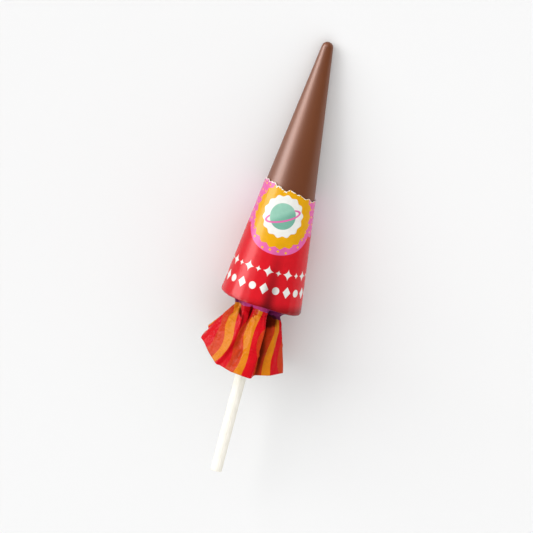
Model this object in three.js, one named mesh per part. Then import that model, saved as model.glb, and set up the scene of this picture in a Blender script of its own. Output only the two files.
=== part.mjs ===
// A milk chocolate rocket: a slim solid cone on a paper stick, in a printed
// paper wrapper. The wrapper's top has been torn away round the cone, and its
// foot is folded under the cone, gathered at a waist and flared round the
// stick as a skirt of seven pleats.
//
// Each piece is drawn upright first: +Y runs up the rocket's axis from the
// cone's flat base to its tip, +Z faces out of the printed front and +X is to
// the front's right. The rocket is then laid on its back with the front up
// and the tip towards +Y, the way a sweet on a stick lies on a table: along
// the flank of the wrapped cone, with the stick and the skirt in the air.

import * as THREE from "three";

// Driving dimensions, in millimetres and degrees. Heights are measured along
// the axis from the cone's base, azimuths from the front towards the right.
const TIP_HEIGHT = 88.7;
const BASE_RADIUS = 13.275; // of the chocolate, where its flank meets the base
const SHOULDER_HEIGHT = 39.5; // above it the flank tapers a little faster
const SHOULDER_RADIUS = 8.33;
const UPPER_TAPER = 0.1345; // radius lost for each millimetre of height
const FOOT_ROUNDING = 0.6; // of the chocolate's bottom edge
const SOCKET_DEPTH = 30; // how far the stick reaches into the chocolate
const SOCKET_PLAY = 0.1;

const STICK_DIAMETER = 3.8;
const STICK_END = -59.8;
const STICK_CHAMFER = 0.15;

const PAPER_THICKNESS = 0.3;
const PAPER_GAP = 0.1; // between the chocolate and the paper round it
const FOOT_SAG = 1.75; // how far the paper's foot hangs below the chocolate's on the right
const SAG_POWER = 3; // above 1, the sag comes in late on the way round to the right
const WAIST_HEIGHT = -4.0;
const NECK_DROP = 0.35; // of the paper folded in under the base, where it turns down
const WAIST_RIDGE = 7.9; // radius of the pleats' ridges at the waist
const WAIST_TURN = 13; // angle there from a ridge to the valley beside it
const PANEL_RISE = 0.72; // share of the way out at which a panel's middle lies
const FLARE = 0.85; // below 1, the skirt opens fastest just under the waist
const FLAT_DEPTH = 0.16; // how deep the flat that the rocket lies on is cut

// The corners of the torn edge: the azimuth and the height of each.
const TEAR = [
  [-78, 40.2], [-58, 40.0], [-28, 39.7], [-12, 38.4], [4, 39.0], [24, 38.0],
  [50, 37.0], [68, 36.3], [92, 36.5], [128, 35.8], [156, 36.6], [196, 38.0],
  [232, 36.4], [268, 37.6],
];
const FINE_JAGS = 0.2; // height of the small jags between those corners

// The skirt's pleats, from the front's right fold round to its left one. A
// pleat drops steeply from its ridge to the valley on the ridge's right, and
// a broad panel leads from there to the next ridge. At the waist: the ridge's
// azimuth and the valley's radius (pinch). At the hem: the ridge's azimuth,
// its radius (reach) and how far below the cone's base it hangs (drop), then
// the valley's angle from the ridge (turn), how much nearer the stick it is
// (depth) and how much higher its edge is (lift). Last, the angle by which
// the pleat bows to the right half way down.
const PLEATS = [
  { waist: 24, pinch: 3.1, hem: 12, reach: 14.0, drop: 24.4, turn: 11, depth: 2.6, lift: 0.9, bow: 4 },
  { waist: 74, pinch: 4.4, hem: 78, reach: 13.4, drop: 21.8, turn: 10, depth: 1.8, lift: -0.2, bow: 0 },
  { waist: 124, pinch: 2.9, hem: 126, reach: 14.0, drop: 22.4, turn: 11, depth: 2.4, lift: 0.5, bow: 3 },
  { waist: 176, pinch: 3.4, hem: 180, reach: 13.6, drop: 22.0, turn: 10, depth: 2.0, lift: 0.5, bow: -4 },
  { waist: 226, pinch: 2.9, hem: 244, reach: 16.4, drop: 14.6, turn: 9, depth: 2.0, lift: -1.2, bow: 0 },
  { waist: 272, pinch: 5.8, hem: 277, reach: 16.1, drop: 17.5, turn: 9, depth: 0.6, lift: -0.4, bow: 2 },
  { waist: 324, pinch: 5.2, hem: 318, reach: 13.5, drop: 23.1, turn: 5, depth: 0.8, lift: -0.2, bow: 11 },
];

// Resolution of the faceted solids.
const COLUMNS_PER_PLEAT = 12;
const COLUMNS = PLEATS.length * COLUMNS_PER_PLEAT;
const FIRST_COLUMN = (5 * 360) / COLUMNS; // so that one column is at 180°
const STICK_SIDES = 24;

// Values that follow from the driving dimensions.
const LOWER_TAPER = (BASE_RADIUS - SHOULDER_RADIUS) / SHOULDER_HEIGHT;
const FLANK_ANGLE = Math.atan(LOWER_TAPER);
const UPPER_ANGLE = Math.atan(UPPER_TAPER);
const FOOT_CENTRE =
  BASE_RADIUS - LOWER_TAPER * FOOT_ROUNDING - FOOT_ROUNDING / Math.cos(FLANK_ANGLE);
const OUTER_OFFSET = PAPER_GAP + PAPER_THICKNESS;

const radians = THREE.MathUtils.degToRad;

// A point at a height, at a distance from the axis and at an azimuth.
function polar(radius, azimuth, height) {
  const angle = radians(azimuth);
  return new THREE.Vector3(
    radius * Math.sin(angle),
    height,
    radius * Math.cos(angle),
  );
}

// The rounded bottom edge of the chocolate, or of a skin laid over it at an
// offset: share 0 is where it meets the flank and 1 where it meets the base.
function footPoint(share, offset) {
  const angle = THREE.MathUtils.lerp(FLANK_ANGLE, -Math.PI / 2, share);
  const radius = FOOT_ROUNDING + offset;
  return new THREE.Vector2(
    FOOT_CENTRE + radius * Math.cos(angle),
    FOOT_ROUNDING + radius * Math.sin(angle),
  );
}

// The chocolate's tip is a ball that its upper flank touches smoothly.
function tipBall() {
  const cosine = Math.cos(UPPER_ANGLE);
  const flankAtTip =
    SHOULDER_RADIUS - UPPER_TAPER * (TIP_HEIGHT - SHOULDER_HEIGHT);
  const radius = (flankAtTip * cosine) / (1 - UPPER_TAPER * cosine);
  return { radius, height: TIP_HEIGHT - radius };
}

// The cone of solid chocolate, with the socket that its stick sits in.
function chocolateGeometry() {
  const socketRadius = STICK_DIAMETER / 2 + SOCKET_PLAY;
  const profile = [
    new THREE.Vector2(0, SOCKET_DEPTH),
    new THREE.Vector2(socketRadius, SOCKET_DEPTH),
    new THREE.Vector2(socketRadius, 0),
  ];
  const footSteps = 4;
  for (let i = footSteps; i >= 0; i--) {
    profile.push(footPoint(i / footSteps, 0));
  }
  profile.push(new THREE.Vector2(SHOULDER_RADIUS, SHOULDER_HEIGHT));
  const ball = tipBall();
  const ballSteps = 6;
  for (let i = 0; i < ballSteps; i++) {
    const angle = THREE.MathUtils.lerp(UPPER_ANGLE, Math.PI / 2, i / ballSteps);
    profile.push(
      new THREE.Vector2(
        ball.radius * Math.cos(angle),
        ball.height + ball.radius * Math.sin(angle),
      ),
    );
  }
  profile.push(new THREE.Vector2(0, TIP_HEIGHT));
  return new THREE.LatheGeometry(profile, COLUMNS, radians(FIRST_COLUMN));
}

// The straight paper stick, its two ends just broken at the edge.
function stickGeometry() {
  const radius = STICK_DIAMETER / 2;
  const top = SOCKET_DEPTH - SOCKET_PLAY;
  const profile = [
    new THREE.Vector2(0, STICK_END),
    new THREE.Vector2(radius - STICK_CHAMFER, STICK_END),
    new THREE.Vector2(radius, STICK_END + STICK_CHAMFER),
    new THREE.Vector2(radius, top - STICK_CHAMFER),
    new THREE.Vector2(radius - STICK_CHAMFER, top),
    new THREE.Vector2(0, top),
  ];
  return new THREE.LatheGeometry(profile, STICK_SIDES);
}

// Height of the wrapper's torn edge: straight from corner to corner of the
// tear, with small jags on the way, as torn paper has.
function tornHeight(azimuth) {
  const start = TEAR[0][0];
  const turned = THREE.MathUtils.euclideanModulo(azimuth - start, 360);
  const corners = [...TEAR, [start + 360, TEAR[0][1]]];
  const k = corners.findIndex((corner) => corner[0] - start > turned);
  const [fromAzimuth, fromHeight] = corners[k - 1];
  const [toAzimuth, toHeight] = corners[k];
  const share = (turned + start - fromAzimuth) / (toAzimuth - fromAzimuth);
  const a = radians(azimuth);
  return (
    THREE.MathUtils.lerp(fromHeight, toHeight, share) +
    FINE_JAGS * Math.sin(16 * a + 0.4) +
    (FINE_JAGS / 2) * Math.sin(29 * a + 1.3)
  );
}

// How far below the chocolate's rounded foot the paper hangs at an azimuth:
// it is tight round the left and hangs more and more towards the right.
function footSag(azimuth) {
  return FOOT_SAG * ((1 + Math.sin(radians(azimuth))) / 2) ** SAG_POWER;
}

// The paper's rounded foot: the chocolate's, with the flank carried on past it
// in a straight line by the sag.
function paperFoot(share, azimuth) {
  const sag = footSag(azimuth);
  const foot = footPoint(share, OUTER_OFFSET);
  return polar(foot.x + LOWER_TAPER * sag, azimuth, foot.y - sag);
}

// A closed curve through the ridge, the valley and the middle of the panel of
// every pleat. Its parameter runs from 0 to 1, a pleat each seventh.
function pleatCurve(ridge, valley, panel) {
  const points = PLEATS.flatMap((pleat, k) => {
    const next = PLEATS[(k + 1) % PLEATS.length];
    return [ridge(pleat), valley(pleat), panel(pleat, next)];
  });
  return new THREE.CatmullRomCurve3(points, true, "catmullrom", 0.5);
}

// Azimuth half way from one pleat's ridge to the next one's.
function azimuthBetween(from, to) {
  return from + THREE.MathUtils.euclideanModulo(to - from, 360) / 2;
}

const bowCurve = pleatCurve(
  (pleat) => new THREE.Vector3(pleat.bow, 0, 0),
  (pleat) => new THREE.Vector3(pleat.bow, 0, 0),
  (pleat) => new THREE.Vector3(pleat.bow, 0, 0),
);

const waistCurve = pleatCurve(
  (pleat) => polar(WAIST_RIDGE, pleat.waist, WAIST_HEIGHT),
  (pleat) => polar(pleat.pinch, pleat.waist + WAIST_TURN, WAIST_HEIGHT),
  (pleat, next) =>
    polar(
      THREE.MathUtils.lerp(pleat.pinch, WAIST_RIDGE, PANEL_RISE),
      azimuthBetween(pleat.waist, next.waist),
      WAIST_HEIGHT,
    ),
);

const hemCurve = pleatCurve(
  (pleat) => polar(pleat.reach, pleat.hem, -pleat.drop),
  (pleat) =>
    polar(
      pleat.reach - pleat.depth,
      pleat.hem + pleat.turn,
      pleat.lift - pleat.drop,
    ),
  (pleat, next) =>
    polar(
      THREE.MathUtils.lerp(pleat.reach - pleat.depth, next.reach, PANEL_RISE),
      azimuthBetween(pleat.hem, next.hem),
      (pleat.lift - pleat.drop - next.drop) / 2,
    ),
);

// The printed face of the wrapper. Across, the share runs once round the
// sheet; down, the place runs from the torn edge (0) over the flank to the
// rounded foot (1 to 2), in under the base and down into the waist (3), and
// down the skirt to the hem (4).
function wrapperPoint(across, down) {
  const azimuth = FIRST_COLUMN + 360 * across;
  if (down < 1) {
    const foot = footPoint(0, OUTER_OFFSET);
    const height = THREE.MathUtils.lerp(tornHeight(azimuth), foot.y - footSag(azimuth), down);
    return polar(foot.x - LOWER_TAPER * (height - foot.y), azimuth, height);
  }
  if (down < 2) {
    return paperFoot(down - 1, azimuth);
  }
  const waist = waistCurve.getPoint(across);
  if (down < 3) {
    const edge = paperFoot(1, azimuth);
    const turn = new THREE.Vector3(waist.x, edge.y - NECK_DROP, waist.z);
    const share = down - 2;
    return edge.lerp(turn, share).lerp(turn.lerp(waist, share), share);
  }
  const hem = hemCurve.getPoint(across);
  const share = down - 3;
  const opened = share ** FLARE;
  const bow = radians(bowCurve.getPoint(across).x) * Math.sin(Math.PI * share);
  return new THREE.Vector3(
    THREE.MathUtils.lerp(waist.x, hem.x, opened),
    THREE.MathUtils.lerp(waist.y, hem.y, share),
    THREE.MathUtils.lerp(waist.z, hem.z, opened),
  ).applyAxisAngle(new THREE.Vector3(0, 1, 0), bow);
}

// The direction out of the printed face.
function wrapperNormal(across, down) {
  const step = 1e-3;
  const around = wrapperPoint(across + step, down).sub(
    wrapperPoint(across - step + 1, down),
  );
  const along = wrapperPoint(across, Math.max(down - step, 0)).sub(
    wrapperPoint(across, Math.min(down + step, 4)),
  );
  return around.cross(along).normalize();
}

// The wrapper is one sheet of paper: a printed face and an unprinted one
// behind it, both split into triangles alike, closed at both edges.
function wrapperGeometry() {
  const rows = [
    0, 0.04, 0.5, 1, 1.35, 1.7, 2, 2.2, 2.4, 2.6, 2.8, 3,
    3.12, 3.26, 3.42, 3.6, 3.8, 4,
  ];
  const positions = [];
  for (const inward of [0, PAPER_THICKNESS]) {
    for (const down of rows) {
      for (let column = 0; column < COLUMNS; column++) {
        const across = column / COLUMNS;
        const point = wrapperPoint(across, down);
        point.addScaledVector(wrapperNormal(across, down), -inward);
        positions.push(point.x, point.y, point.z);
      }
    }
  }
  const faceSize = rows.length * COLUMNS;
  const indices = [];
  const quad = (a, b, c, d) => indices.push(a, b, c, a, c, d);
  for (let column = 0; column < COLUMNS; column++) {
    const next = (column + 1) % COLUMNS;
    for (let row = 0; row + 1 < rows.length; row++) {
      const a = row * COLUMNS + column;
      const b = (row + 1) * COLUMNS + column;
      const c = (row + 1) * COLUMNS + next;
      const d = row * COLUMNS + next;
      quad(a, b, c, d);
      indices.push(faceSize + a, faceSize + c, faceSize + b);
      indices.push(faceSize + a, faceSize + d, faceSize + c);
    }
    const hem = (rows.length - 1) * COLUMNS;
    quad(column, next, faceSize + next, faceSize + column);
    quad(hem + next, hem + column, faceSize + hem + column, faceSize + hem + next);
  }
  const geometry = new THREE.BufferGeometry();
  geometry.setAttribute(
    "position",
    new THREE.Float32BufferAttribute(positions, 3),
  );
  geometry.setIndex(indices);
  return geometry;
}

// Lays an upright piece down: it turns about +X until the wrapped cone's
// flank is level, and is set on the table at the height of that flank.
function layDown(geometry) {
  const foot = footPoint(0, OUTER_OFFSET);
  const flankFromAxis =
    (foot.x + LOWER_TAPER * foot.y) * Math.cos(FLANK_ANGLE);
  geometry.rotateX(-FLANK_ANGLE);
  geometry.translate(0, 0, flankFromAxis - FLAT_DEPTH);
  return geometry;
}

// Presses whatever reaches below the table flat against it.
function flattenUnderside(geometry) {
  const position = geometry.getAttribute("position");
  for (let i = 0; i < position.count; i++) {
    position.setZ(i, Math.max(position.getZ(i), 0));
  }
  return geometry;
}

const chocolate = new THREE.Mesh(
  layDown(chocolateGeometry()),
  new THREE.MeshStandardMaterial({ color: 0x7a4226, roughness: 0.35, metalness: 0 }),
);
chocolate.name = "chocolate_cone";

const wrapper = new THREE.Mesh(
  flattenUnderside(layDown(wrapperGeometry())),
  new THREE.MeshStandardMaterial({ color: 0xe01a26, roughness: 0.4, metalness: 0 }),
);
wrapper.name = "wrapper";

const stick = new THREE.Mesh(
  layDown(stickGeometry()),
  new THREE.MeshStandardMaterial({ color: 0xeeebe0, roughness: 0.8, metalness: 0 }),
);
stick.name = "stick";

const rocket = new THREE.Group();
rocket.add(chocolate, wrapper, stick);

// The origin is on the table, under the middle of the whole rocket.
const centre = new THREE.Box3().setFromObject(rocket).getCenter(new THREE.Vector3());
rocket.position.set(-centre.x, -centre.y, 0);

const model = new THREE.Group();
model.add(rocket);

export default model;
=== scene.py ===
"""A milk chocolate rocket on a paper stick, half out of its torn printed wrapper.

It lies on its back on a pale floor, with the printed front up and the tip
towards +Y, and the camera looks down on it. Pieces are worked out upright
first, in millimetres: +Y runs up the axis from the chocolate's flat base, +Z
faces out of the front and +X is to the front's right. Azimuths are degrees
from the front towards the right. Then each piece is laid down into the frame.
"""

import math

import bpy
import numpy as np
from mathutils import Matrix, Vector


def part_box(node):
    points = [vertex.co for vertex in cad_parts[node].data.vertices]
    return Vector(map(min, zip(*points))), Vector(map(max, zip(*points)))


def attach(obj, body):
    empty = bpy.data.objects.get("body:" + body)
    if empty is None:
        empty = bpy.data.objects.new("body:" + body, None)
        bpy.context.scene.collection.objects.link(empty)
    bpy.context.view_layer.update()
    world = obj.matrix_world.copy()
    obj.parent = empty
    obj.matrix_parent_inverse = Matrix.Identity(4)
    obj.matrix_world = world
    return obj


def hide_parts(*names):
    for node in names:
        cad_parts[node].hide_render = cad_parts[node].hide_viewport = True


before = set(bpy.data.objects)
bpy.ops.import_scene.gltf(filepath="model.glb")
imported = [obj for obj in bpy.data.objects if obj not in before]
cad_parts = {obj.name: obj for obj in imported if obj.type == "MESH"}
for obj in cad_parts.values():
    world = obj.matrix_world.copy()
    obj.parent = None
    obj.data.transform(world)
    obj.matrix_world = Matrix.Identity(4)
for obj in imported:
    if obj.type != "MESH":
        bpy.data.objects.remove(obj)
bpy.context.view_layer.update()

MM = 0.001

# The chocolate and its stick.
TIP_HEIGHT = 88.7
BASE_RADIUS = 13.275
SHOULDER_HEIGHT = 39.5
SHOULDER_RADIUS = 8.33
UPPER_TAPER = 0.1345
FOOT_ROUNDING = 0.6
SOCKET_DEPTH = 30
SOCKET_PLAY = 0.1
STICK_DIAMETER = 3.8
STICK_END = -59.8
STICK_CHAMFER = 0.15

# The wrapper: the place of its printed face, then its form.
OUTER_OFFSET = 0.4
PAPER_THICKNESS = 0.07
FOOT_SAG = 1.75
SAG_POWER = 3
NECK_DROP = 0.35
WAIST_HEIGHT = -4.0
WAIST_RIDGE = 7.9
WAIST_TURN = 13
PANEL_RISE = 0.72
FLARE = 0.85
FLAT_DEPTH = 0.16
FIRST_COLUMN = 5 * 360 / 84  # azimuth at which the sheet's columns start

# The corners of the torn edge: the azimuth and the height of each.
TEAR = [
    (-78, 40.2), (-58, 40.0), (-28, 39.7), (-12, 38.4), (4, 39.0), (24, 38.0),
    (50, 37.0), (68, 36.3), (92, 36.5), (128, 35.8), (156, 36.6), (196, 38.0),
    (232, 36.4), (268, 37.6),
]
FINE_JAGS = 0.2

# The skirt's pleats. At the waist: the ridge's azimuth and the radius of the
# valley beside it. At the hem: the ridge's azimuth, its radius and its depth
# below the base, then the valley's angle from the ridge, how much nearer the
# stick it is and how much higher. Last, how far the pleat bows sideways.
PLEATS = [
    dict(waist=24, pinch=3.1, hem=12, reach=14.0, drop=24.4, turn=11, depth=2.6, lift=0.9, bow=4),
    dict(waist=74, pinch=4.4, hem=78, reach=13.4, drop=21.8, turn=10, depth=1.8, lift=-0.2, bow=0),
    dict(waist=124, pinch=2.9, hem=126, reach=14.0, drop=22.4, turn=11, depth=2.4, lift=0.5, bow=3),
    dict(waist=176, pinch=3.4, hem=180, reach=13.6, drop=22.0, turn=10, depth=2.0, lift=0.5, bow=-4),
    dict(waist=226, pinch=2.9, hem=244, reach=16.4, drop=14.6, turn=9, depth=2.0, lift=-1.2, bow=0),
    dict(waist=272, pinch=5.8, hem=277, reach=16.1, drop=17.5, turn=9, depth=0.6, lift=-0.4, bow=2),
    dict(waist=324, pinch=5.2, hem=318, reach=13.5, drop=23.1, turn=5, depth=0.8, lift=-0.2, bow=11),
]
POINTS_PER_PLEAT = 3  # ridge, valley and the middle of the panel
FOLD_SHARPNESS = 0.55  # 0 rounds the folds, 1 leaves them as corners

# Creases pressed into the skirt. A place on it is the number of pleats from
# the front's right ridge and the share of the way from the waist to the hem.
# Each crease: from place, to place, height in millimetres (below 0 for a
# furrow) and width in millimetres. A narrow furrow is pressed in only in part
# and is darkened with painted shade.
CREASES = [
    (-0.34, 0.54, 0.16, 0.57, -0.34, 0.7),  # the pinch across the front ridge
    (-0.34, 0.63, 0.10, 0.62, 0.75, 0.8),
    (-0.16, 0.26, -0.13, 0.56, 0.52, 0.6),
    (-0.52, 0.42, -0.42, 1.10, -1.10, 1.8),  # the soft trough left of that ridge
    (-0.14, 0.60, -0.10, 1.03, 0.50, 1.6),
    (-0.40, 0.00, -0.12, 0.07, 0.45, 0.7),  # the loop at the waist
    (-0.14, 0.08, -0.02, 0.24, 0.42, 0.7),
    (-0.52, 0.03, -0.24, 0.12, -0.30, 0.4),
    (-1.30, -0.08, -1.03, 0.14, -1.00, 0.4),  # the dark hollow at the waist's left
    (-0.98, 0.02, -0.90, 0.40, -0.60, 0.4),
    (-0.90, 0.00, -0.74, 0.16, 0.40, 0.6),
    (0.30, -0.14, 0.68, 0.12, -1.10, 1.0),  # the deep hollow right of the front ridge
    (0.62, -0.04, 0.54, 0.22, -1.10, 1.0),
    (0.46, 0.34, 0.35, 1.04, -0.20, 0.8),
    (-0.70, 0.64, -0.62, 1.04, 0.34, 1.6),  # where the left fold fades out
    (-1.78, 0.30, -1.12, 0.24, 0.28, 0.8),  # across the left flap
    (-1.62, 0.60, -1.18, 0.93, 0.30, 0.9),
    (-1.84, 0.74, -1.30, 0.86, 0.26, 0.8),
    (-1.50, 0.16, -1.16, 0.40, 0.30, 0.7),
    (-0.72, 0.30, -0.50, 0.60, 0.24, 1.0),
    (0.78, 0.16, 0.66, 0.46, 0.30, 0.7),  # down the right panel
    (0.66, 0.46, 0.72, 0.94, 0.26, 0.9),
    (0.86, 0.60, 0.98, 0.96, 0.22, 0.7),
]

# Edges of the skirt's stripes across its front, in pleats from the front's
# right ridge: at the hem, at the waist, then how far the edge swings aside
# half way down and a quarter of the way down. The first is a red stripe's.
STRIPE_EDGES = [
    (-2.20, -2.60, 0.00, 0.00), (-1.45, -2.10, 0.09, -0.15), (-1.18, -2.00, 0.33, 0.00),
    (-1.06, -1.20, 0.10, -0.03), (-0.52, -0.25, -0.48, -0.18), (-0.30, -0.40, -0.17, -0.11),
    (-0.16, -0.15, -0.11, -0.04), (0.16, 0.35, -0.37, -0.11), (0.48, 0.82, -0.08, 0.03),
    (0.68, 0.93, -0.08, 0.04), (0.89, 1.17, -0.12, 0.06),
]
STRIPES = 27  # in the whole skirt, three colours in turn

# The soft fold that runs up the sleeve's front from its foot. Besides its relief,
# the print along it is darkened with painted shade, most near the foot.
FOLD_AZIMUTH = 3
FOLD_HALF_ANGLE = 15
FOLD_TOP = 23
FOLD_DEPTH = 0.26
FOLD_PAINTED_DARKNESS = 0.74

# Resolution of the wrapper's mesh.
COLUMNS = 336
TEAR_ROWS = 9
SLEEVE_ROWS = 28
FOOT_ROWS = 10
NECK_ROWS = 18
SKIRT_ROWS = 72

# Values that follow from the sizes above.
TAPER = (BASE_RADIUS - SHOULDER_RADIUS) / SHOULDER_HEIGHT
FLANK_ANGLE = math.atan(TAPER)
UPPER_ANGLE = math.atan(UPPER_TAPER)
FOOT_CENTRE = BASE_RADIUS - TAPER * FOOT_ROUNDING - FOOT_ROUNDING / math.cos(FLANK_ANGLE)


# Shapes worked out upright, in millimetres.

def lerp(a, b, share):
    return a + (b - a) * share


def smooth(low, high, value):
    """A soft step: 0 below low and 1 above high."""
    share = np.clip((np.asarray(value) - low) / (high - low), 0, 1)
    return share * share * (3 - 2 * share)


def polar(radius, azimuth, height):
    """Points at a distance from the axis, at an azimuth and a height."""
    angle = np.radians(azimuth)
    x, y, z = np.broadcast_arrays(radius * np.sin(angle), height, radius * np.cos(angle))
    return np.stack([x, y, z], axis=-1).astype(float)


def foot_point(share, offset):
    """Radius and height on the rounded foot, from the flank (0) to the base (1)."""
    angle = lerp(FLANK_ANGLE, -math.pi / 2, share)
    radius = FOOT_ROUNDING + offset
    return FOOT_CENTRE + radius * np.cos(angle), FOOT_ROUNDING + radius * np.sin(angle)


def lattice_noise(across, along, cells_across, cells_along, seed):
    """Smooth random relief from -1 to 1 that closes on itself round the rocket."""
    knots = np.random.default_rng(seed).uniform(-1, 1, (cells_across, cells_along + 2))
    x = np.mod(across, 1) * cells_across
    y = np.clip(along, 0, 1) * cells_along
    i = np.floor(x).astype(int) % cells_across
    j = np.floor(y).astype(int)
    blend_x = smooth(0, 1, x - np.floor(x))
    blend_y = smooth(0, 1, y - np.floor(y))
    after = (i + 1) % cells_across
    near = lerp(knots[i, j], knots[after, j], blend_x)
    far = lerp(knots[i, j + 1], knots[after, j + 1], blend_x)
    return lerp(near, far, blend_y)


def lathe(profile, sides):
    """Vertices and faces of a closed turned body. Its profile of (radius, height)
    starts and ends on the axis."""
    azimuths = np.arange(sides) * 360 / sides
    rings = [polar(radius, azimuths, height) for radius, height in profile[1:-1]]
    first, last = (0, profile[0][1], 0), (0, profile[-1][1], 0)
    vertices = np.vstack([[first]] + rings + [[last]])
    faces = []
    end = len(vertices) - 1
    for side in range(sides):
        after = (side + 1) % sides
        faces.append((0, 1 + side, 1 + after))
        for ring in range(len(rings) - 1):
            low, high = 1 + ring * sides, 1 + (ring + 1) * sides
            faces.append((low + after, low + side, high + side, high + after))
        top = 1 + (len(rings) - 1) * sides
        faces.append((top + after, top + side, end))
    return vertices, faces


# The frame's place for an upright piece.

stick_low, stick_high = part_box("stick")
AXIS_X = (stick_low.x + stick_high.x) / 2 / MM
foot_radius, foot_height = foot_point(0, OUTER_OFFSET)
LIFT = (foot_radius + TAPER * foot_height) * math.cos(FLANK_ANGLE) - FLAT_DEPTH
BASE_Y = (
    stick_low.y / MM
    - STICK_END * math.cos(FLANK_ANGLE)
    + (STICK_DIAMETER / 2 - STICK_CHAMFER) * math.sin(FLANK_ANGLE)
)


def lay_down(points):
    """Turns upright points in millimetres into the frame, in metres."""
    points = np.asarray(points, float)
    x, height, front = points[..., 0], points[..., 1], points[..., 2]
    cosine, sine = math.cos(FLANK_ANGLE), math.sin(FLANK_ANGLE)
    laid = [x + AXIS_X, height * cosine + front * sine + BASE_Y, front * cosine - height * sine + LIFT]
    return np.stack(laid, axis=-1) * MM


def add_object(name, vertices, faces, materials):
    """A mesh object from vertices in metres, with smooth shading."""
    mesh = bpy.data.meshes.new(name)
    mesh.from_pydata([tuple(v) for v in vertices], [], [tuple(int(i) for i in f) for f in faces])
    mesh.shade_smooth()
    for material in materials:
        mesh.materials.append(material)
    piece = bpy.data.objects.new(name, mesh)
    bpy.context.scene.collection.objects.link(piece)
    return piece


# Materials.

class Tree:
    """Short calls that build a material's node tree."""

    def __init__(self, name):
        self.material = bpy.data.materials.new(name)
        self.material.use_nodes = True
        self.nodes = self.material.node_tree.nodes
        self.links = self.material.node_tree.links
        self.shader = self.nodes["Principled BSDF"]

    def feed(self, socket, value):
        """Links an output to a socket, or sets the socket to a value."""
        if isinstance(value, bpy.types.NodeSocket):
            self.links.new(value, socket)
        else:
            socket.default_value = value

    def math(self, operation, *values):
        node = self.nodes.new("ShaderNodeMath")
        node.operation = operation
        for socket, value in zip(node.inputs, values):
            self.feed(socket, value)
        return node.outputs[0]

    def step(self, low, high, value):
        """Soft step from 0 to 1 as value goes from low to high."""
        node = self.nodes.new("ShaderNodeMapRange")
        node.interpolation_type = "SMOOTHSTEP"
        self.feed(node.inputs["Value"], value)
        self.feed(node.inputs["From Min"], low)
        self.feed(node.inputs["From Max"], high)
        return node.outputs["Result"]

    def between(self, value, low, high, results):
        """A number that goes from results[0] to results[1] as value goes from low to high."""
        node = self.nodes.new("ShaderNodeMapRange")
        self.feed(node.inputs["Value"], value)
        self.feed(node.inputs["From Min"], low)
        self.feed(node.inputs["From Max"], high)
        node.inputs["To Min"].default_value = results[0]
        node.inputs["To Max"].default_value = results[1]
        return node.outputs["Result"]

    def inside(self, size, distance):
        """1 where a distance is under a size, with the print's soft edge."""
        return self.step(size + PRINT_BLUR, size - PRINT_BLUR, distance)

    def length(self, x, y):
        return self.math("SQRT", self.math("ADD", self.math("POWER", x, 2.0), self.math("POWER", y, 2.0)))

    def mix(self, share, first, second):
        node = self.nodes.new("ShaderNodeMix")
        node.data_type = "RGBA"
        self.feed(node.inputs[0], share)
        self.feed(node.inputs[6], first)
        self.feed(node.inputs[7], second)
        return node.outputs[2]

    def attribute(self, name):
        """The three numbers of a mesh attribute."""
        node = self.nodes.new("ShaderNodeAttribute")
        node.attribute_name = name
        parts = self.nodes.new("ShaderNodeSeparateXYZ")
        self.links.new(node.outputs["Vector"], parts.inputs[0])
        return parts.outputs["X"], parts.outputs["Y"], parts.outputs["Z"]

    def noise(self, scale, detail=2.0, roughness=0.5, stretch=(1, 1, 1)):
        """Noise on the object's own coordinates. Scale is in cells a metre."""
        place = self.nodes.new("ShaderNodeTexCoord")
        mapping = self.nodes.new("ShaderNodeMapping")
        mapping.inputs["Scale"].default_value = stretch
        self.links.new(place.outputs["Object"], mapping.inputs["Vector"])
        node = self.nodes.new("ShaderNodeTexNoise")
        node.inputs["Scale"].default_value = scale
        node.inputs["Detail"].default_value = detail
        node.inputs["Roughness"].default_value = roughness
        self.links.new(mapping.outputs["Vector"], node.inputs["Vector"])
        return node.outputs["Fac"]

    def bump(self, height, distance, strength=1.0, normal=None):
        node = self.nodes.new("ShaderNodeBump")
        node.inputs["Distance"].default_value = distance
        node.inputs["Strength"].default_value = strength
        self.links.new(height, node.inputs["Height"])
        if normal is not None:
            self.links.new(normal, node.inputs["Normal"])
        return node.outputs["Normal"]

    def finish(self, **sockets):
        """Feeds the shader's sockets, named with underscores for spaces."""
        for name, value in sockets.items():
            self.feed(self.shader.inputs[name.replace("_", " ")], value)
        return self.material


def linear(red, green, blue):
    """A colour as it looks on screen, 0 to 255, as the shader wants it."""
    def channel(value):
        value /= 255
        return value / 12.92 if value <= 0.04045 else ((value + 0.055) / 1.055) ** 2.4
    return (channel(red), channel(green), channel(blue), 1)


def chocolate_material():
    """Moulded milk chocolate: a soft gloss, faint bloom and a fine grain."""
    tree = Tree("milk chocolate")
    cloud = tree.noise(70, detail=3, stretch=(1, 0.35, 1))
    grain = tree.noise(2600, detail=2)
    colour = tree.mix(tree.step(0.3, 0.7, cloud), linear(105, 50, 12), linear(111, 55, 15))
    colour = tree.mix(tree.between(grain, 0.45, 0.75, (0.0, 0.30)), colour, linear(119, 62, 22))
    swell = tree.noise(220, detail=2, stretch=(1, 0.4, 1))
    normal = tree.bump(swell, 0.00012, 0.25)
    normal = tree.bump(grain, 0.00002, 0.25, normal)
    return tree.finish(
        Base_Color=colour,
        Roughness=tree.between(cloud, 0.3, 0.7, (0.41, 0.46)),
        Specular_IOR_Level=0.5,
        Normal=normal,
    )


SEAM_AZIMUTH = 8
ROLLED_TURNS = 22


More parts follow.
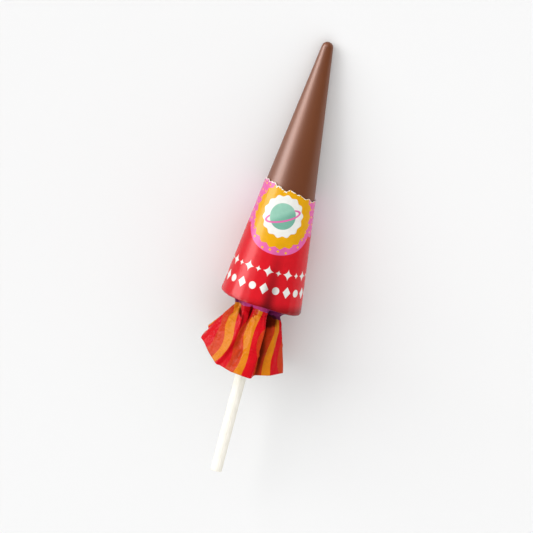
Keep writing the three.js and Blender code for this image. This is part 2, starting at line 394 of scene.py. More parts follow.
def stick_material():
    """Rolled white paper: matt, faintly fibrous, with a seam along it."""
    tree = Tree("stick paper")
    azimuth, height, radius = tree.attribute("place")
    fibre = tree.noise(900, detail=4, roughness=0.6, stretch=(1, 0.25, 1))
    colour = tree.mix(tree.step(0.35, 0.65, fibre), linear(232, 228, 216), linear(240, 236, 226))
    from_seam = tree.math("ABSOLUTE", tree.math("SUBTRACT", azimuth, SEAM_AZIMUTH))
    seam = tree.math("SUBTRACT", 1.0, tree.step(0.0, 5.0, from_seam))
    colour = tree.mix(tree.math("MULTIPLY", seam, 0.35), colour, linear(205, 200, 186))
    turns = tree.math("SINE", tree.math("MULTIPLY", radius, ROLLED_TURNS))
    at_end = tree.step(STICK_END + 0.1, STICK_END, height)
    rolled = tree.math("MULTIPLY", tree.step(0.2, 0.9, turns), at_end)
    colour = tree.mix(tree.math("MULTIPLY", rolled, 0.4), colour, linear(188, 180, 164))
    normal = tree.bump(fibre, 0.00004, 0.5)
    return tree.finish(Base_Color=colour, Roughness=0.75, Specular_IOR_Level=0.3, Normal=normal)


# Colours of the print.
RED = linear(204, 18, 31)
SKIRT_RED = linear(198, 15, 27)
ORANGE = linear(190, 57, 22)
AMBER = linear(205, 120, 20)
PINK = linear(216, 96, 160)
NECK_PINK = linear(216, 78, 158)
# Purple painted shade for the neck's sides.
NECK_PAINTED_SHADE = linear(104, 27, 76)
YELLOW = linear(218, 158, 4)
DOT_YELLOW = linear(226, 174, 20)
WHITE = linear(224, 223, 218)
MINT = linear(140, 188, 168)
PLANET_PAINTED_SHADE = linear(112, 166, 147)
TORN_WHITE = linear(232, 226, 214)
# Dark red painted shade for the sleeve's fold and under its foot.
SLEEVE_PAINTED_SHADE = linear(70, 6, 9)
# Dark brown painted shade for the skirt's hollows and narrow furrows.
HOLLOW_PAINTED_SHADE = linear(46, 12, 5)

# The print's layout, in millimetres. A sunburst on the flat sheet sits on a
# pink band of spots that goes all the way round under the tear.
BURST_HEIGHT = 30.2
BURST_RADIUS = 10.6
BURST_RAYS = 20
RAY_LENGTH = 0.9
BURST_RIM = 2.3
BADGE_RADIUS = 6.9
BADGE_SCALLOPS = 14
SCALLOP_DEPTH = 0.3
PLANET_RADIUS = 4.4
HALO_WIDTH = 6.3
HALO_HEIGHT = 1.9
HALO_BAND = 0.6
HALO_TILT = 24
BAND_HEIGHT = 25.2
BAND_SCALLOPS = 22
BAND_SCALLOP_DEPTH = 0.7
SPOT_COLUMNS = 26
SPOT_ROW_PITCH = 2.5
SPOT_ROWS_FROM = 1.2  # height of the lowest row of spots above the base
SPOT_DOT_RADIUS = 0.37
# The neck's brightest azimuth, and how far from it the painted shade reaches in full.
NECK_BRIGHT_AZIMUTH = -9
NECK_BRIGHT_SPREAD = 42
STAR_ROW_HEIGHT = 11.7
STARS = 22
LARGE_STAR = 2.0
SMALL_STAR = 1.1
SHAPE_ROW_HEIGHT = 5.9
SHAPES = 20
DIAMOND_RADIUS = 1.9
SPOT_RADIUS = 1.25
PRINT_BLUR = 0.05


def four_point_star(tree, x, y, radius):
    """1 inside a star whose four points reach radius."""
    reach = [
        tree.math("POWER", tree.math("ABSOLUTE", tree.math("DIVIDE", value, radius)), 0.6)
        for value in (x, y)
    ]
    return tree.step(1.03, 0.97, tree.math("ADD", *reach))


def row_cell(tree, azimuth, count, row_radius, offset=0.0):
    """Number of the cell that a point of a row is in, and its distance across from the cell's middle."""
    place = tree.math("ADD", tree.math("MULTIPLY", azimuth, count / 360), offset)
    number = tree.math("ROUND", place)
    pitch = 2 * math.pi * row_radius / count
    across = tree.math("MULTIPLY", tree.math("SUBTRACT", place, number), pitch)
    return number, across


def is_odd(tree, number):
    return tree.math("ABSOLUTE", tree.math("MODULO", number, 2.0))


def row_radius(height):
    """Radius of the sleeve at a height."""
    return BASE_RADIUS - TAPER * height + OUTER_OFFSET


def spotted_band(tree, ground, x, y, azimuth, height):
    """The pink band of yellow spots, its lower edge scalloped, and the rim of the sunburst."""
    wave = tree.math("SINE", tree.math("MULTIPLY", azimuth, BAND_SCALLOPS * math.pi / 360))
    hang = tree.math("MULTIPLY", tree.math("ABSOLUTE", wave), BAND_SCALLOP_DEPTH)
    above = tree.math("SUBTRACT", tree.math("ADD", height, hang), BAND_HEIGHT)
    in_band = tree.step(-PRINT_BLUR, PRINT_BLUR, above)
    in_rim = tree.inside(BURST_RADIUS + BURST_RIM, tree.length(x, y))
    colour = tree.mix(tree.math("MAXIMUM", in_band, in_rim), ground, PINK)
    row = tree.math("DIVIDE", tree.math("SUBTRACT", height, SPOT_ROWS_FROM), SPOT_ROW_PITCH)
    row_number = tree.math("ROUND", row)
    dot_y = tree.math("MULTIPLY", tree.math("SUBTRACT", row, row_number), SPOT_ROW_PITCH)
    shift = tree.math("MULTIPLY", is_odd(tree, row_number), 0.5)
    _, dot_x = row_cell(tree, azimuth, SPOT_COLUMNS, row_radius(BURST_HEIGHT), shift)
    spot = tree.inside(SPOT_DOT_RADIUS, tree.length(dot_x, dot_y))
    on_pink = tree.math("MAXIMUM", tree.step(0.5, 0.6, above), in_rim)
    return tree.mix(tree.math("MULTIPLY", spot, on_pink), colour, DOT_YELLOW)


def sunburst(tree, ground, x, y):
    """A yellow sunburst that holds a ringed planet, its lower right in painted shade, on a white scalloped badge.
    """
    distance = tree.length(x, y)
    angle = tree.math("ARCTAN2", x, y)
    saw = tree.math("PINGPONG", tree.math("MULTIPLY", angle, BURST_RAYS / math.pi), 1.0)
    reach = tree.math("SUBTRACT", distance, tree.math("MULTIPLY", saw, RAY_LENGTH))
    colour = tree.mix(tree.inside(BURST_RADIUS - RAY_LENGTH / 2, reach), ground, YELLOW)
    scallop = tree.math("COSINE", tree.math("MULTIPLY", angle, BADGE_SCALLOPS))
    badge = tree.math("SUBTRACT", distance, tree.math("MULTIPLY", scallop, SCALLOP_DEPTH))
    colour = tree.mix(tree.inside(BADGE_RADIUS, badge), colour, WHITE)
    planet = tree.inside(PLANET_RADIUS, distance)
    # The planet's lower right is darkened with painted shade.
    shade = tree.step(-1.4, 1.4, tree.math("SUBTRACT", tree.math("MULTIPLY", x, 0.7), y))
    colour = tree.mix(planet, colour, tree.mix(shade, MINT, PLANET_PAINTED_SHADE))
    cosine, sine = math.cos(math.radians(HALO_TILT)), math.sin(math.radians(HALO_TILT))
    along = tree.math("ADD", tree.math("MULTIPLY", x, cosine), tree.math("MULTIPLY", y, sine))
    over = tree.math("SUBTRACT", tree.math("MULTIPLY", y, cosine), tree.math("MULTIPLY", x, sine))

    def oval(width, height):
        squares = [
            tree.math("POWER", tree.math("DIVIDE", value, size), 2.0)
            for value, size in ((along, width), (over, height))
        ]
        return tree.step(1.04, 0.96, tree.math("ADD", *squares))

    hole = oval(HALO_WIDTH - HALO_BAND * 1.4, HALO_HEIGHT - HALO_BAND)
    band = tree.math("SUBTRACT", oval(HALO_WIDTH, HALO_HEIGHT), hole)
    behind = tree.math("MULTIPLY", planet, tree.step(0.0, 0.1, over))
    band = tree.math("MULTIPLY", band, tree.math("SUBTRACT", 1.0, behind))
    return tree.mix(band, colour, PINK)


def alternate(tree, number, even_shape, odd_shape):
    """One shape in the even cells of a row and another in the odd ones."""
    odd = is_odd(tree, number)
    even = tree.math("SUBTRACT", 1.0, odd)
    return tree.math(
        "MAXIMUM", tree.math("MULTIPLY", even, even_shape), tree.math("MULTIPLY", odd, odd_shape))


def sleeve_rows(tree, ground, azimuth, height):
    """A row of stars and a row of diamonds and spots, in white."""
    number, x = row_cell(tree, azimuth, STARS, row_radius(STAR_ROW_HEIGHT))
    y = tree.math("SUBTRACT", height, STAR_ROW_HEIGHT)
    large, small = four_point_star(tree, x, y, LARGE_STAR), four_point_star(tree, x, y, SMALL_STAR)
    colour = tree.mix(alternate(tree, number, large, small), ground, WHITE)
    number, x = row_cell(tree, azimuth, SHAPES, row_radius(SHAPE_ROW_HEIGHT))
    y = tree.math("SUBTRACT", height, SHAPE_ROW_HEIGHT)
    diamond_size = tree.math(
        "ADD", tree.math("ABSOLUTE", tree.math("MULTIPLY", x, 1.25)), tree.math("ABSOLUTE", y))
    diamond = tree.inside(DIAMOND_RADIUS, diamond_size)
    spot = tree.inside(SPOT_RADIUS, tree.length(x, y))
    return tree.mix(alternate(tree, number, diamond, spot), colour, WHITE)


def striped_skirt(tree, stripe):
    """Red, orange and amber stripes in turn. Stripe is the number of stripes from the first edge."""
    third = tree.math("FLOORED_MODULO", tree.math("FLOOR", stripe), 3.0)
    is_orange = tree.math("COMPARE", third, 1.0, 0.5)
    is_amber = tree.math("COMPARE", third, 2.0, 0.5)
    return tree.mix(is_amber, tree.mix(is_orange, SKIRT_RED, ORANGE), AMBER)


def neck_with_painted_shade(tree, azimuth):
    """The pink neck, darkened to purple with painted shade away from its front."""
    aside = tree.math("ABSOLUTE", tree.math("SUBTRACT", azimuth, NECK_BRIGHT_AZIMUTH))
    return tree.mix(tree.step(0.0, NECK_BRIGHT_SPREAD, aside), NECK_PINK, NECK_PAINTED_SHADE)


def painted_fold_shade(tree, azimuth, height):
    """How much painted shade darkens the soft fold up the sleeve's front: most in its middle, and near the foot.
    """
    aside = tree.math("ABSOLUTE", tree.math("SUBTRACT", azimuth, FOLD_AZIMUTH + FOLD_HALF_ANGLE / 2))
    middle = tree.step(FOLD_HALF_ANGLE, 0.0, aside)
    return tree.math("MULTIPLY", middle, tree.between(height, 2.0, FOLD_TOP, (FOLD_PAINTED_DARKNESS, 0.0)))


def print_material():
    """The wrapper's printed face, with white fibres along the tear, and painted
    shade along the sleeve's fold, under its foot, on the neck and in the skirt's hollows.
    """
    tree = Tree("printed paper")
    flat_x, flat_y, torn = tree.attribute("sheet")
    azimuth, height, down = tree.attribute("rows")
    stripe, painted_hollow_shade, band = tree.attribute("skirt")
    sleeve = sleeve_rows(tree, RED, azimuth, height)
    sleeve = spotted_band(tree, sleeve, flat_x, flat_y, azimuth, height)
    sleeve = sunburst(tree, sleeve, flat_x, flat_y)
    # Painted shade along the sleeve's soft fold.
    sleeve = tree.mix(painted_fold_shade(tree, azimuth, height), sleeve, SLEEVE_PAINTED_SHADE)
    # Painted shade under the foot, where the paper turns under the base, darker towards the right.
    turned_under = tree.step(2.4, -0.8, height)
    painted_underside_shade = tree.math("MULTIPLY", turned_under, tree.between(azimuth, -50, 10, (0.1, 0.62)))
    sleeve = tree.mix(painted_underside_shade, sleeve, SLEEVE_PAINTED_SHADE)
    colour = tree.mix(tree.step(1.55, 1.85, down), sleeve, neck_with_painted_shade(tree, azimuth))
    colour = tree.mix(tree.step(-0.04, 0.04, band), colour, striped_skirt(tree, stripe))
    mottle = tree.noise(700, detail=3)
    colour = tree.mix(tree.between(mottle, 0.35, 0.65, (0.0, 0.06)), colour, (0.0, 0.0, 0.0, 1))
    # Painted shade in the skirt's hollows and narrow furrows, which also lose gloss.
    colour = tree.mix(tree.math("MULTIPLY", painted_hollow_shade, 0.85), colour, HOLLOW_PAINTED_SHADE)
    fibre = tree.noise(2600, detail=3, roughness=0.6)
    width = tree.between(tree.noise(1500, detail=3, roughness=0.6), 0.38, 0.66, (0.0, 0.75))
    left = tree.between(azimuth, -15.0, 15.0, (1.0, 0.5))
    torn_band = tree.math("LESS_THAN", torn, tree.math("MULTIPLY", width, left))
    colour = tree.mix(torn_band, colour, TORN_WHITE)
    normal = tree.bump(mottle, 0.00003, 0.25)
    normal = tree.bump(fibre, 0.00003, 0.20, normal)
    crinkle = tree.math("ABSOLUTE", tree.math("SUBTRACT", tree.noise(420, detail=2), 0.5))
    normal = tree.bump(tree.math("MULTIPLY", crinkle, tree.step(0.0, 1.5, band)), 0.0010, 0.5, normal)
    roughness = tree.math("ADD", 0.26, tree.math("MULTIPLY", torn_band, 0.45))
    shine = tree.between(band, -0.1, 0.6, (0.14, 0.04))
    gloss = tree.math("MULTIPLY", shine, tree.math("SUBTRACT", 1.0, painted_hollow_shade))
    return tree.finish(Base_Color=colour, Roughness=roughness, Specular_IOR_Level=gloss, Normal=normal)


def inside_material():
    """The wrapper's unprinted face: soft white paper."""
    tree = Tree("unprinted paper")
    fibre = tree.noise(1800, detail=4, roughness=0.65)
    colour = tree.mix(tree.step(0.3, 0.7, fibre), linear(228, 222, 212), linear(240, 237, 230))
    normal = tree.bump(fibre, 0.00005, 0.5)
    return tree.finish(Base_Color=colour, Roughness=0.7, Specular_IOR_Level=0.35, Normal=normal)


# The chocolate.

def chocolate_piece():
    profile = [(0, SOCKET_DEPTH)]
    socket_radius = STICK_DIAMETER / 2 + SOCKET_PLAY
    profile += [(socket_radius, SOCKET_DEPTH), (socket_radius, 0)]
    foot_steps = 10
    profile += [foot_point(i / foot_steps, 0) for i in range(foot_steps, -1, -1)]
    flank_steps = 24
    start_radius, start_height = profile[-1]
    for i in range(1, flank_steps + 1):
        share = i / flank_steps
        profile.append((lerp(start_radius, SHOULDER_RADIUS, share), lerp(start_height, SHOULDER_HEIGHT, share)))
    cosine = math.cos(UPPER_ANGLE)
    flank_at_tip = SHOULDER_RADIUS - UPPER_TAPER * (TIP_HEIGHT - SHOULDER_HEIGHT)
    ball = flank_at_tip * cosine / (1 - UPPER_TAPER * cosine)
    ball_height = TIP_HEIGHT - ball
    ball_start = (ball * math.cos(UPPER_ANGLE), ball_height + ball * math.sin(UPPER_ANGLE))
    upper_steps = 30
    for i in range(1, upper_steps):
        share = i / upper_steps
        profile.append((lerp(SHOULDER_RADIUS, ball_start[0], share), lerp(SHOULDER_HEIGHT, ball_start[1], share)))
    ball_steps = 14
    for i in range(ball_steps):
        angle = lerp(UPPER_ANGLE, math.pi / 2, i / ball_steps)
        profile.append((ball * math.cos(angle), ball_height + ball * math.sin(angle)))
    profile.append((0, TIP_HEIGHT))
    vertices, faces = lathe(profile, 168)
    low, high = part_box("chocolate_cone")
    laid = np.clip(lay_down(vertices), tuple(low), tuple(high))
    return add_object("chocolate", laid, faces, [chocolate_material()])


# The stick.

def stick_piece():
    radius = STICK_DIAMETER / 2
    top = SOCKET_DEPTH - SOCKET_PLAY
    profile = [(0, STICK_END)]
    profile += [(radius * share, STICK_END) for share in (0.3, 0.6, 0.8)]
    for angle in (0, 30, 60, 90):
        turned = math.radians(angle)
        profile.append((
            radius - STICK_CHAMFER + STICK_CHAMFER * math.sin(turned),
            STICK_END + STICK_CHAMFER - STICK_CHAMFER * math.cos(turned),
        ))
    length_steps = 24
    for i in range(1, length_steps):
        profile.append((radius, lerp(STICK_END + STICK_CHAMFER, top - STICK_CHAMFER, i / length_steps)))
    profile += [(radius, top - STICK_CHAMFER), (radius - STICK_CHAMFER, top), (0, top)]
    vertices, faces = lathe(profile, 64)
    piece = add_object("stick_piece", lay_down(vertices), faces, [stick_material()])
    place = piece.data.attributes.new("place", "FLOAT_VECTOR", "POINT")
    azimuth = np.degrees(np.arctan2(vertices[:, 0], vertices[:, 2]))
    values = np.stack([azimuth, vertices[:, 1], np.hypot(vertices[:, 0], vertices[:, 2])], axis=-1)
    place.data.foreach_set("vector", values.astype(np.float32).ravel())
    return piece


# The wrapper.

def torn_height(azimuth):
    """Height of the torn edge: from corner to corner, with jags and fibres."""
    corners = TEAR + [(TEAR[0][0] + 360, TEAR[0][1])]
    turned = np.mod(azimuth - TEAR[0][0], 360) + TEAR[0][0]
    line = np.interp(turned, [corner[0] for corner in corners], [corner[1] for corner in corners])
    angle = np.radians(azimuth)
    jags = FINE_JAGS * np.sin(16 * angle + 0.4) + FINE_JAGS / 2 * np.sin(29 * angle + 1.3)
    across = azimuth / 360
    fibres = 0.14 * lattice_noise(across, 0, 110, 1, 21) + 0.10 * lattice_noise(across, 0, 240, 1, 22)
    return line + jags + fibres


def foot_sag(azimuth):
    """How far the paper's foot hangs below the chocolate's: more towards the right."""
    return FOOT_SAG * ((1 + np.sin(np.radians(azimuth))) / 2) ** SAG_POWER


def closed_curve(points, across):
    """A curve through all the points in turn, its folds partly sharpened."""
    count = len(points)
    place = np.mod(across, 1) * count
    k = np.floor(place).astype(int) % count
    t = (place - np.floor(place))[..., None]
    before, start, end, after = (points[(k + i) % count] for i in (-1, 0, 1, 2))
    curve = (
        (2 * t**3 - 3 * t**2 + 1) * start
        + (t**3 - 2 * t**2 + t) * (end - before) / 2
        + (3 * t**2 - 2 * t**3) * end
        + (t**3 - t**2) * (after - start) / 2
    )
    return lerp(curve, lerp(start, end, t), FOLD_SHARPNESS)


def between_azimuths(start, end):
    return start + (end - start) % 360 / 2


def pleat_points():
    """The waist's and the hem's points: each pleat's ridge, valley and panel middle."""
    waist, hem = [], []
    for pleat, following in zip(PLEATS, PLEATS[1:] + PLEATS[:1]):
        waist += [
            polar(WAIST_RIDGE, pleat["waist"], WAIST_HEIGHT),
            polar(pleat["pinch"], pleat["waist"] + WAIST_TURN, WAIST_HEIGHT),
            polar(
                lerp(pleat["pinch"], WAIST_RIDGE, PANEL_RISE),
                between_azimuths(pleat["waist"], following["waist"]),
                WAIST_HEIGHT,
            ),
        ]
        inner = pleat["reach"] - pleat["depth"]
        hem += [
            polar(pleat["reach"], pleat["hem"], -pleat["drop"]),
            polar(inner, pleat["hem"] + pleat["turn"], pleat["lift"] - pleat["drop"]),
            polar(
                lerp(inner, following["reach"], PANEL_RISE),
                between_azimuths(pleat["hem"], following["hem"]),
                (pleat["lift"] - pleat["drop"] - following["drop"]) / 2,
            ),
        ]
    return np.array(waist), np.array(hem)


WAIST_POINTS, HEM_POINTS = pleat_points()
BOWS = np.repeat([pleat["bow"] for pleat in PLEATS], POINTS_PER_PLEAT).astype(float)


def turn_round_axis(points, angle):
    """Points turned round the axis by an angle in radians."""
    cosine, sine = np.cos(angle), np.sin(angle)
    x = points[..., 0] * cosine + points[..., 2] * sine
    z = points[..., 2] * cosine - points[..., 0] * sine
    return np.stack([x, points[..., 1], z], axis=-1)


def sleeve_surface(across, share):
    """The flank, from the torn edge (0) to the foot (1)."""
    azimuth = FIRST_COLUMN + 360 * across
    foot_radius, foot_height = foot_point(0, OUTER_OFFSET)
    height = lerp(torn_height(azimuth), foot_height - foot_sag(azimuth), share)
    return polar(foot_radius - TAPER * (height - foot_height), azimuth, height)


def foot_surface(across, share):
    """The rounded foot, with the flank carried on past the chocolate's by the sag."""
    azimuth = FIRST_COLUMN + 360 * across
    radius, height = foot_point(share, OUTER_OFFSET)
    sag = foot_sag(azimuth)
    return polar(radius + TAPER * sag, azimuth, height - sag)


def neck_surface(across, share):
    """From the foot in under the base, then down into the waist."""
    edge = foot_surface(across, 1.0)
    waist = closed_curve(WAIST_POINTS, across)
    turn = waist * [1, 0, 1] + edge * [0, 1, 0] - [0, NECK_DROP, 0]
    share = share[..., None]
    return lerp(lerp(edge, turn, share), lerp(turn, waist, share), share)


def skirt_surface(across, share):
    """From the waist (0) to the hem (1)."""
    waist = closed_curve(WAIST_POINTS, across)
    hem = closed_curve(HEM_POINTS, across)
    bow = closed_curve(BOWS[:, None], across)[..., 0]
    opened = share[..., None] ** [FLARE, 1, FLARE]
    return turn_round_axis(lerp(waist, hem, opened), np.radians(bow * np.sin(math.pi * share**0.8)))


def wrapper_rows():
    """Places down the sheet: 0 to 1 sleeve, to 2 foot, to 3 neck, to 4 skirt."""
    tear = np.linspace(0, 0.045, TEAR_ROWS, endpoint=False)
    sleeve = np.linspace(0.045, 1, SLEEVE_ROWS, endpoint=False)
    foot = np.linspace(1, 2, FOOT_ROWS, endpoint=False)
    neck = np.linspace(2, 3, NECK_ROWS, endpoint=False)
    skirt = np.linspace(3, 4, SKIRT_ROWS)
    return np.concatenate([tear, sleeve, foot, neck, skirt])


def wrapper_surface(across, down):
    """Points of the smooth printed face on a grid of places."""
    zones = [
        sleeve_surface(across, np.clip(down, 0, 1)),
        foot_surface(across, np.clip(down - 1, 0, 1)),
        neck_surface(across, np.clip(down - 2, 0, 1)),
        skirt_surface(across, np.clip(down - 3, 0, 1)),
    ]
    zone = np.clip(np.floor(down), 0, 3)[..., None]
    return np.select([zone == i for i in range(4)], zones)


def grid_normals(points):
    """Directions out of the printed face of a grid of rows down and columns round."""
    around = np.roll(points, -1, axis=1) - np.roll(points, 1, axis=1)
    along = -np.gradient(points, axis=0)
    normals = np.cross(around, along)
    return normals / np.linalg.norm(normals, axis=-1, keepdims=True)


def creased(value):
    """Turns smooth noise into sharp ridges between soft hollows."""
    return 1 - 2 * np.abs(value)


# Rough size of the skirt's sheet, to measure its creases on: a pleat's width
# at the waist and at the hem, and the way from one to the other.
WAIST_PLEAT_WIDTH = 5.5
HEM_PLEAT_WIDTH = 12.6
SKIRT_LENGTH = 22.0
CREASE_ROUNDING = 0.35  # how blunt a crease's top is, as a share of its width
# Narrow furrows are darkened with painted shade over their whole depth; wide ones have none.
FURROW_DEPTH = 0.35  # share of a furrow that is pressed in; its shade is of the whole
SOFT_WIDTH = 1.5  # a furrow this wide is pressed in wholly and has no shade


def sheet_place(pleats, share):
    """A place on the skirt as millimetres across and down its sheet."""
    return pleats * lerp(WAIST_PLEAT_WIDTH, HEM_PLEAT_WIDTH, share), share * SKIRT_LENGTH


def crease_relief(across, share):
    """The ridges and the furrows that are pressed into the skirt one by one: the
    relief of the ridges and wide furrows, and the whole depth of the narrow
    furrows, which are darkened with painted shade.
    """
    pleats = np.mod(across * len(PLEATS) + 3.5, len(PLEATS)) - 3.5
    x, y = sheet_place(pleats, share)
    ridges, furrows = np.zeros(x.shape), np.zeros(x.shape)
    for from_pleats, from_share, to_pleats, to_share, height, width in CREASES:
        start_x, start_y = sheet_place(from_pleats, from_share)
        end_x, end_y = sheet_place(to_pleats, to_share)
        run_x, run_y = end_x - start_x, end_y - start_y
        along = ((x - start_x) * run_x + (y - start_y) * run_y) / (run_x**2 + run_y**2)
        along = np.clip(along, 0, 1)
        distance = np.hypot(x - start_x - along * run_x, y - start_y - along * run_y)
        faded = 0.25 + 0.75 * np.sin(math.pi * along)
        shape = height * faded * np.exp(CREASE_ROUNDING - np.hypot(distance / width, CREASE_ROUNDING))
        if height > 0 or width >= SOFT_WIDTH:
            ridges += shape
        else:
            furrows += shape
    return ridges, furrows


def front_fold(azimuth, height):
    """The sleeve's soft lengthwise fold: a quick fall to the right, then a slow rise."""
    right = np.radians(azimuth - FOLD_AZIMUTH) * BASE_RADIUS
    fall = smooth(-1.0, 1.4, right) * np.exp(-np.maximum(right, 0) / 4.5)
    return -FOLD_DEPTH * fall * smooth(FOLD_TOP, FOLD_TOP - 7, height)


def wrapper_relief(across, down, heights):
    """How far the paper stands out of its smooth form, and the whole depth of its
    narrow furrows, of which only a part is in that and which are darkened with
    painted shade.
    """
    azimuth = FIRST_COLUMN + 360 * across
    azimuth = np.where(azimuth > 180, azimuth - 360, azimuth)
    skirt = np.clip(down - 3, 0, 1)
    on_sleeve = smooth(0, 0.1, down) * smooth(2.2, 1.9, down)
    dents = 0.05 * lattice_noise(across, down / 4, 16, 40, 1) * on_sleeve
    fold = front_fold(azimuth, heights) * on_sleeve
    lifted = 0.14 * np.exp(-down / 0.03) * lattice_noise(across, 0, 34, 1, 2)
    near_foot = np.exp(-(((down - 1.3) / 0.6) ** 2))
    rim = 0.10 * near_foot * lattice_noise(across, down / 4, 48, 12, 3)
    gathered = smooth(2.2, 3.0, down) * np.exp(-skirt / 0.22)
    gathers = 0.36 * gathered * creased(lattice_noise(across, skirt, 70, 3, 4))
    loose = smooth(3.03, 3.3, down)
    patches = 0.5 + 0.5 * lattice_noise(across, skirt, 22, 4, 8)
    crumples = 0.16 * loose * patches * creased(lattice_noise(across + 0.02 * skirt, skirt, 40, 7, 5))
    fine = 0.05 * loose * patches * creased(lattice_noise(across - 0.03 * skirt, skirt, 96, 16, 6))
    creased_zone = smooth(2.85, 3.05, down)
    ridges, furrows = crease_relief(across, skirt)
    ridges, furrows = ridges * creased_zone, furrows * creased_zone
    relief = dents + fold + lifted + rim + gathers + crumples + fine + ridges + FURROW_DEPTH * furrows
    return relief, furrows


def stripe_edges():
    """The edges of all the stripes round the skirt, the plain back ones evenly spaced."""
    front = np.array(STRIPE_EDGES)
    back_count = STRIPES - len(front)
    steps = np.arange(1, back_count + 1) / (back_count + 1)
    back = np.stack([
        lerp(front[-1, 0], front[0, 0] + len(PLEATS), steps),
        lerp(front[-1, 1], front[0, 1] + len(PLEATS), steps),
        0.10 * np.sin(2.4 * np.arange(back_count)),
        0.05 * np.cos(3.1 * np.arange(back_count)),
    ], axis=-1)
    return np.vstack([front, back])


def stripe_number(across, share):
    """Number of stripes from the first stripe edge, at places on the skirt."""
    edges = stripe_edges()
    place = across * len(PLEATS)
    swing, sway = np.sin(math.pi * share), np.sin(2 * math.pi * share)
    sides = np.array([
        lerp(waist, hem, share) + half * swing + quarter * sway + lap * len(PLEATS)
        for lap in (-1, 0, 1)
        for hem, waist, half, quarter in edges
    ])
    below = np.clip(np.sum(sides <= place, axis=0) - 1, 0, len(sides) - 2)
    low = np.take_along_axis(sides, below[None], axis=0)[0]
    high = np.take_along_axis(sides, below[None] + 1, axis=0)[0]
    return below - len(edges) + np.clip((place - low) / (high - low), 0, 0.999)


def neck_band_edge(azimuth):
    """Height at which the pink neck ends and the stripes begin."""
    turned = np.radians(azimuth)
    return -2.15 - 1.3 * foot_sag(azimuth) - 1.1 * (1 - np.cos(turned)) + 0.12 * np.sin(5 * turned)


def wrapper_piece():
    rows = wrapper_rows()
    columns = np.arange(COLUMNS) / COLUMNS
    down, across = np.meshgrid(rows, columns, indexing="ij")
    smooth_face = wrapper_surface(across, down)
    relief, furrows = wrapper_relief(across, down, smooth_face[..., 1])
    outer = smooth_face + grid_normals(smooth_face) * relief[..., None]
    inner = outer - grid_normals(outer) * PAPER_THICKNESS
    outer, inner = lay_down(outer), lay_down(inner)
    low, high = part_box("wrapper")
    for face in (outer, inner):
        face[..., 0] = np.clip(face[..., 0], low.x, high.x)
        face[..., 1] = np.clip(face[..., 1], low.y, high.y)
    outer[..., 2] = np.maximum(outer[..., 2], 0)
    inner[..., 2] = np.maximum(inner[..., 2], PAPER_THICKNESS * 0.8 * MM)

    count = len(rows)
    number = np.arange(count * COLUMNS).reshape(count, COLUMNS)
    after = np.roll(number, -1, axis=1)
    printed = np.stack([number[:-1], number[1:], after[1:], after[:-1]], axis=-1).reshape(-1, 4)
    back = count * COLUMNS
    unprinted = printed[:, ::-1] + back
    top = np.stack([number[0], after[0], after[0] + back, number[0] + back], axis=-1)
    hem = np.stack([after[-1], number[-1], number[-1] + back, after[-1] + back], axis=-1)
    faces = np.vstack([printed, unprinted, top, hem])
    vertices = np.vstack([outer.reshape(-1, 3), inner.reshape(-1, 3)])
    piece = add_object("wrapper_paper", vertices, faces, [print_material(), inside_material()])
    slots = np.ones(len(faces), int)
    slots[:len(printed)] = 0
    piece.data.polygons.foreach_set("material_index", slots)
    # How hollow each place is, with the narrow furrows' whole depth, for the painted shade.
    store_print(piece, rows, printed, smooth_face, hollows(smooth_face, relief) - furrows)
    return piece


# The skirt's hollows are darkened with painted shade, from none at the first depth below to full at the second.
CAVITY_REACH = 7  # columns to each side that a hollow is measured against
HOLLOW_SHADE_FROM = 0.10
HOLLOW_SHADE_TO = 0.65


def hollows(face, relief):
    """How far each point lies inside the average of its neighbours round the rocket."""
    radius = np.hypot(face[..., 0], face[..., 2]) + relief
    reach = np.arange(-2 * CAVITY_REACH, 2 * CAVITY_REACH + 1)
    weights = np.exp(-((reach / CAVITY_REACH) ** 2))
    average = sum(weight * np.roll(radius, step, axis=1) for weight, step in zip(weights, reach))
    return average / weights.sum() - radius


def store_print(piece, rows, printed, face, hollow):
    """Stores on the printed face's corners where each lies on the print."""
    down, across = np.meshgrid(rows, np.arange(COLUMNS + 1) / COLUMNS, indexing="ij")
    wide = np.concatenate([face, face[:, :1]], axis=1)
    azimuth = FIRST_COLUMN + 360 * across
    azimuth = np.where(azimuth > 180 + 1e-9, azimuth - 360, azimuth)
    height = wide[..., 1]
    sine = math.sin(FLANK_ANGLE)
    slant = row_radius(height) / sine
    centre = row_radius(BURST_HEIGHT) / sine
    flat_angle = np.radians(azimuth) * sine
    flat_x = slant * np.sin(flat_angle)
    flat_y = centre - slant * np.cos(flat_angle)
    torn = (torn_height(azimuth) - height) / math.cos(FLANK_ANGLE)
    stripe = stripe_number(across, np.clip(down - 3, 0, 1))
    # Painted shade in the hollows, fading in along the neck and full on the skirt.
    painted_hollow_shade = smooth(HOLLOW_SHADE_FROM, HOLLOW_SHADE_TO, hollow) * smooth(2.2, 3.0, down[:, :-1])
    painted_hollow_shade = np.concatenate([painted_hollow_shade, painted_hollow_shade[:, :1]], axis=1)
    band = np.where(down > 2, neck_band_edge(azimuth) - height, -1.0)
    values = {
        "sheet": (flat_x, flat_y, torn),
        "rows": (azimuth, height, down),
        "skirt": (stripe, painted_hollow_shade, band),
    }
    row, column = np.divmod(printed[:, 0], COLUMNS)
    corner_rows = np.stack([row, row + 1, row + 1, row], axis=-1).ravel()
    corner_columns = np.stack([column, column, column + 1, column + 1], axis=-1).ravel()
    for name, parts in values.items():
        attribute = piece.data.attributes.new(name, "FLOAT_VECTOR", "CORNER")
        data = np.zeros((len(attribute.data), 3), np.float32)
        grid = np.stack(parts, axis=-1)
        data[:len(corner_rows)] = grid[corner_rows, corner_columns]
        attribute.data.foreach_set("vector", data.ravel())


# The studio.

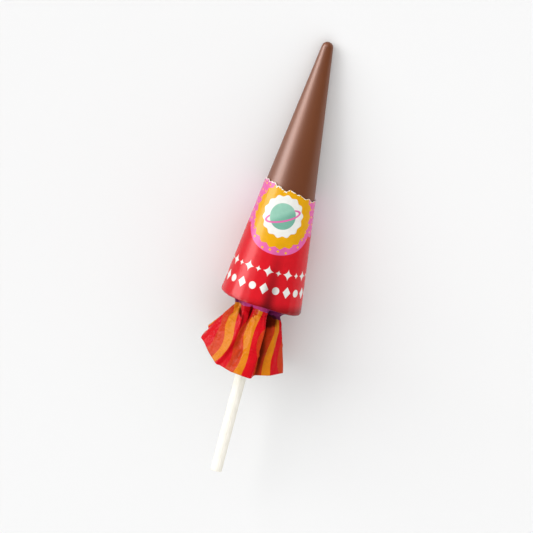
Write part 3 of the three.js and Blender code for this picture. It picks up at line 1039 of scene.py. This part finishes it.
CAMERA_TILT = 10.4  # degrees towards the tip from square to the axis
PHOTO_WIDTH = 175.9  # millimetres across the picture at the rocket
CAMERA_DISTANCE = 4000
SENSOR_WIDTH = 36
IMAGE_UP = (0.9671, 0.2546)  # the picture's up direction, along the axis and to the left
VIEW_CENTRE = (10.66, -1.02)  # from the base's middle, along the axis and to the right


def laid_direction(x, y, z):
    """An upright direction, laid down."""
    cosine, sine = math.cos(FLANK_ANGLE), math.sin(FLANK_ANGLE)
    return Vector((x, y * cosine + z * sine, z * cosine - y * sine))


def direction(azimuth, elevation):
    """Direction out of the rocket at an azimuth, turned towards the tip by an elevation."""
    turned, raised = math.radians(azimuth), math.radians(elevation)
    return Vector((
        math.sin(turned) * math.cos(raised),
        math.sin(raised),
        math.cos(turned) * math.cos(raised),
    ))


def add_camera():
    tilt = math.radians(CAMERA_TILT)
    axis_up = laid_direction(0, math.cos(tilt), -math.sin(tilt))
    towards = laid_direction(0, math.sin(tilt), math.cos(tilt))
    side = Vector((1, 0, 0))
    up = IMAGE_UP[0] * axis_up - IMAGE_UP[1] * side
    right = IMAGE_UP[1] * axis_up + IMAGE_UP[0] * side
    base = Vector(lay_down((0, 0, 0)))
    target = base + (VIEW_CENTRE[0] * axis_up + VIEW_CENTRE[1] * side) * MM
    data = bpy.data.cameras.new("camera")
    data.sensor_width = SENSOR_WIDTH
    data.lens = SENSOR_WIDTH * CAMERA_DISTANCE / PHOTO_WIDTH
    camera = bpy.data.objects.new("camera", data)
    turn = Matrix((right, up, towards)).transposed().to_4x4()
    camera.matrix_world = Matrix.Translation(target + towards * CAMERA_DISTANCE * MM) @ turn
    bpy.context.scene.collection.objects.link(camera)
    bpy.context.scene.camera = camera


def add_sun(name, azimuth, elevation, spread, radiance):
    """Even light from a broad patch of sky. It isn't seen in reflections."""
    data = bpy.data.lights.new(name, "SUN")
    data.angle = math.radians(spread)
    data.energy = radiance * math.pi
    light = bpy.data.objects.new(name, data)
    light.rotation_euler = direction(azimuth, elevation).to_track_quat("Z", "Y").to_euler()
    light.visible_glossy = False
    bpy.context.scene.collection.objects.link(light)


SOFTBOX_DISTANCE = 1.2


def add_softbox(name, azimuth, elevation, width, length, radiance):
    """A softbox seen only in reflections, its length towards the tip."""
    data = bpy.data.lights.new(name, "AREA")
    data.shape = "RECTANGLE"
    data.size = width
    data.size_y = length
    data.energy = radiance * math.pi * width * length
    light = bpy.data.objects.new(name, data)
    outward = direction(azimuth, elevation)
    side = Vector((outward.z, 0, -outward.x)).normalized()
    turn = Matrix((side, outward.cross(side), outward)).transposed().to_4x4()
    light.matrix_world = Matrix.Translation(outward * SOFTBOX_DISTANCE + Vector((0, 0, LIFT * MM))) @ turn
    light.visible_diffuse = False
    bpy.context.scene.collection.objects.link(light)


def add_floor():
    tree = Tree("pale floor")
    cloud = tree.noise(3, detail=2)
    colour = tree.mix(cloud, linear(228, 228, 228), linear(230, 230, 230))
    material = tree.finish(Base_Color=colour, Roughness=1.0, Specular_IOR_Level=0.0)
    half = 3.0
    corners = [(-half, -half, 0), (half, -half, 0), (half, half, 0), (-half, half, 0)]
    add_object("floor", corners, [(0, 1, 2, 3)], [material])


def add_studio():
    add_floor()
    add_sun("key", azimuth=-60, elevation=22, spread=50, radiance=0.72)
    add_sun("fill", azimuth=24, elevation=8, spread=150, radiance=0.86)
    add_softbox("side gloss", azimuth=-73, elevation=0, width=0.78, length=2.4, radiance=12.0)
    add_softbox("upper gloss", azimuth=-30, elevation=50, width=0.60, length=0.50, radiance=5.0)
    world = bpy.data.worlds.new("room")
    world.use_nodes = True
    background = world.node_tree.nodes["Background"]
    background.inputs["Color"].default_value = (1, 1, 1, 1)
    background.inputs["Strength"].default_value = 0.10
    bpy.context.scene.world = world
    bpy.context.scene.view_settings.view_transform = "Standard"


def main():
    pieces = [
        (chocolate_piece(), "chocolate_cone", "milk_chocolate"),
        (stick_piece(), "stick", "stick_paper"),
        (wrapper_piece(), "wrapper", "printed_paper"),
    ]
    for piece, node, slot in pieces:
        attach(piece, "root")
        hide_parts(node)
    add_camera()
    add_studio()


main()
